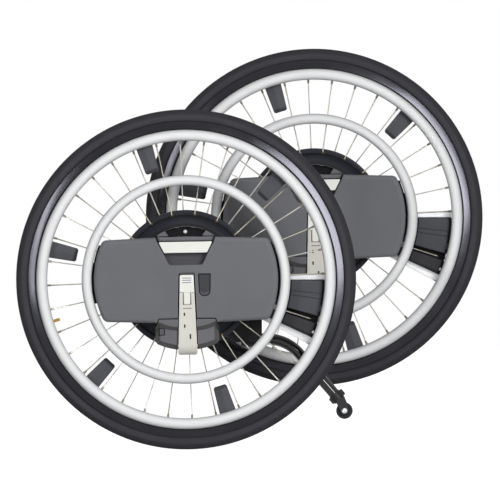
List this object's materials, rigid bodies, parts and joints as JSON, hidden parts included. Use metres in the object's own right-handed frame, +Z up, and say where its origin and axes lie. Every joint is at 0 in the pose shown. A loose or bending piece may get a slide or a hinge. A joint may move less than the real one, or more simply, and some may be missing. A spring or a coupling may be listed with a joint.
{
  "type": "wheelchair power assist wheels",
  "caption": "Pair of hub-motor drive wheels for a wheelchair with two push rims, slide-on battery with locking lever, and an anti-tip arm.",
  "frame": {"origin": "seat of the left wheel's axle, on the axle's axis, where the quick-release pin leaves the wheel", "axes": "+Y along the axle towards the chair, +Z up, +X to the right as the wheel's face is looked at"},
  "size_m": [0.816, 0.6002, 0.701],
  "materials": {
    "tyre_rubber": "matt",
    "tube_rubber": "matt",
    "rim_dark": "polished",
    "spoke_steel": "satin",
    "nipple_brass": "plated",
    "hub_black": "satin",
    "motor_steel": "plain",
    "bracket_grey": "fine texture",
    "sheet_aluminium": "brushed",
    "plate_black": "powder coat",
    "pushrim_aluminium": "satin anodised",
    "plastic_black": "matt",
    "case_grey": "fine texture",
    "button_grey": "matt",
    "cell_steel": "sleeved",
    "plate_cream": "satin",
    "lever_cream": "satin",
    "coil_copper": "enamelled",
    "pin_steel": "polished",
    "tube_black": "gloss",
    "castor_rubber": "matt"
  },
  "bodies": {
    "fixed_parts": {"left_dock_plate": "plastic_black", "left_battery_dock": "case_grey", "left_torque_plate": "plate_black", "right_dock_plate": "plastic_black", "right_battery_dock": "case_grey", "right_torque_plate": "plate_black", "axle_shafts": "motor_steel", "stator_cores": "motor_steel", "stator_coils": "coil_copper", "quick_release_pins": "pin_steel", "lever_pins": "pin_steel"},
    "left_wheel": {"left_tyre": "tyre_rubber", "left_inner_tube": "tube_rubber", "left_rim": "rim_dark", "left_spokes": "spoke_steel", "left_spoke_nipples": "nipple_brass", "left_hub_shell": "hub_black", "left_hub_back_cover": "hub_black", "left_rotor_magnets": "motor_steel", "left_hub_bearings": "motor_steel", "left_pushrim_brackets": "bracket_grey", "left_sensor_plate": "sheet_aluminium", "left_sensor_boxes": "bracket_grey", "left_inner_rim_carrier": "plate_black"},
    "left_outer_rim": {"left_outer_pushrim": "pushrim_aluminium"},
    "left_inner_rim": {"left_inner_pushrim": "pushrim_aluminium"},
    "left_battery": {"left_battery_front_case": "case_grey", "left_battery_back_case": "case_grey", "left_battery_cells": "cell_steel", "left_carry_handle": "plate_cream"},
    "left_port_flap": {"left_charge_cover": "button_grey"},
    "left_lever": {"left_lock_lever": "lever_cream"},
    "left_latch": {"left_lever_latch": "lever_cream"},
    "left_button": {"left_power_button": "button_grey"},
    "right_wheel": {"right_tyre": "tyre_rubber", "right_inner_tube": "tube_rubber", "right_rim": "rim_dark", "right_spokes": "spoke_steel", "right_spoke_nipples": "nipple_brass", "right_hub_shell": "hub_black", "right_hub_back_cover": "hub_black", "right_rotor_magnets": "motor_steel", "right_hub_bearings": "motor_steel", "right_pushrim_brackets": "bracket_grey", "right_sensor_plate": "sheet_aluminium", "right_sensor_boxes": "bracket_grey", "right_inner_rim_carrier": "plate_black"},
    "right_outer_rim": {"right_outer_pushrim": "pushrim_aluminium"},
    "right_inner_rim": {"right_inner_pushrim": "pushrim_aluminium"},
    "right_battery": {"right_battery_front_case": "case_grey", "right_battery_back_case": "case_grey", "right_battery_cells": "cell_steel", "right_carry_handle": "plate_cream"},
    "right_port_flap": {"right_charge_cover": "button_grey"},
    "right_lever": {"right_lock_lever": "lever_cream"},
    "right_latch": {"right_lever_latch": "lever_cream"},
    "right_button": {"right_power_button": "button_grey"},
    "anti_tip_arm": {"anti_tip_tube": "tube_black"},
    "anti_tip_end": {"anti_tip_foot": "tube_black"},
    "anti_tip_castor": {"anti_tip_wheel": "castor_rubber"}
  },
  "joints": [
    {"name": "left_wheel_spin", "type": "hinge", "parent": "fixed_parts", "child": "left_wheel", "pos_m": [0, -0.058, 0], "axis": [0, 1, 0], "continuous": true},
    {"name": "left_outer_rim_twist", "type": "hinge", "parent": "left_wheel", "child": "left_outer_rim", "pos_m": [0, -0.058, 0], "axis": [0, 1, 0], "range_deg": [-1.5, 1.5], "stiffness_Nm_per_rad": 200},
    {"name": "left_inner_rim_twist", "type": "hinge", "parent": "left_wheel", "child": "left_inner_rim", "pos_m": [0, -0.058, 0], "axis": [0, 1, 0], "range_deg": [-8, 8], "stiffness_Nm_per_rad": 20},
    {"name": "left_battery_slide", "type": "slide", "parent": "fixed_parts", "child": "left_battery", "axis": [0, -1, 0], "range_m": [0, 0.068]},
    {"name": "left_lever_swing", "type": "hinge", "parent": "fixed_parts", "child": "left_lever", "pos_m": [0.00321, -0.124, -0.11496], "axis": [0.9998, 0, 0.0175], "range_deg": [0, 97.5]},
    {"name": "left_latch_slide", "type": "slide", "parent": "left_lever", "child": "left_latch", "axis": [-0.0175, 0, 0.9998], "range_m": [0, 0.003], "stiffness_N_per_m": 400},
    {"name": "left_port_flap_open", "type": "hinge", "parent": "left_battery", "child": "left_port_flap", "pos_m": [0.03184, -0.137, 0.00916], "axis": [-0.9998, 0, -0.0175], "range_deg": [0, 90]},
    {"name": "left_power_press", "type": "slide", "parent": "fixed_parts", "child": "left_button", "axis": [0, 1, 0], "range_m": [0, 0.0015], "stiffness_N_per_m": 400},
    {"name": "right_wheel_spin", "type": "hinge", "parent": "fixed_parts", "child": "right_wheel", "pos_m": [0.224, 0.342, 0.109], "axis": [0, 1, 0], "continuous": true},
    {"name": "right_outer_rim_twist", "type": "hinge", "parent": "right_wheel", "child": "right_outer_rim", "pos_m": [0.224, 0.342, 0.109], "axis": [0, 1, 0], "range_deg": [-1.5, 1.5], "stiffness_Nm_per_rad": 200},
    {"name": "right_inner_rim_twist", "type": "hinge", "parent": "right_wheel", "child": "right_inner_rim", "pos_m": [0.224, 0.342, 0.109], "axis": [0, 1, 0], "range_deg": [-8, 8], "stiffness_Nm_per_rad": 20},
    {"name": "right_battery_slide", "type": "slide", "parent": "fixed_parts", "child": "right_battery", "axis": [0, -1, 0], "range_m": [0, 0.068]},
    {"name": "right_lever_swing", "type": "hinge", "parent": "fixed_parts", "child": "right_lever", "pos_m": [0.22721, 0.276, -0.00596], "axis": [0.9998, 0, 0.0175], "range_deg": [0, 97.5]},
    {"name": "right_latch_slide", "type": "slide", "parent": "right_lever", "child": "right_latch", "axis": [-0.0175, 0, 0.9998], "range_m": [0, 0.003], "stiffness_N_per_m": 400},
    {"name": "right_port_flap_open", "type": "hinge", "parent": "right_battery", "child": "right_port_flap", "pos_m": [0.25584, 0.263, 0.11816], "axis": [-0.9998, 0, -0.0175], "range_deg": [0, 90]},
    {"name": "right_power_press", "type": "slide", "parent": "fixed_parts", "child": "right_button", "axis": [0, 1, 0], "range_m": [0, 0.0015], "stiffness_N_per_m": 400},
    {"name": "anti_tip_swing", "type": "hinge", "parent": "fixed_parts", "child": "anti_tip_arm", "pos_m": [0.11, 0.002, -0.1039], "axis": [1, 0, 0], "range_deg": [0, 180]},
    {"name": "anti_tip_extend", "type": "slide", "parent": "anti_tip_arm", "child": "anti_tip_end", "axis": [0.6561, 0, -0.7547], "range_m": [0, 0.03]},
    {"name": "castor_spin", "type": "hinge", "parent": "anti_tip_end", "child": "anti_tip_castor", "pos_m": [0.27582, 0.002, -0.22875], "axis": [0, 1, 0], "continuous": true}
  ],
  "couplings": [
    {"joint": "left_lever_swing", "follows": "left_battery_slide", "rad_per_m": 25},
    {"joint": "right_lever_swing", "follows": "right_battery_slide", "rad_per_m": 25}
  ]
}
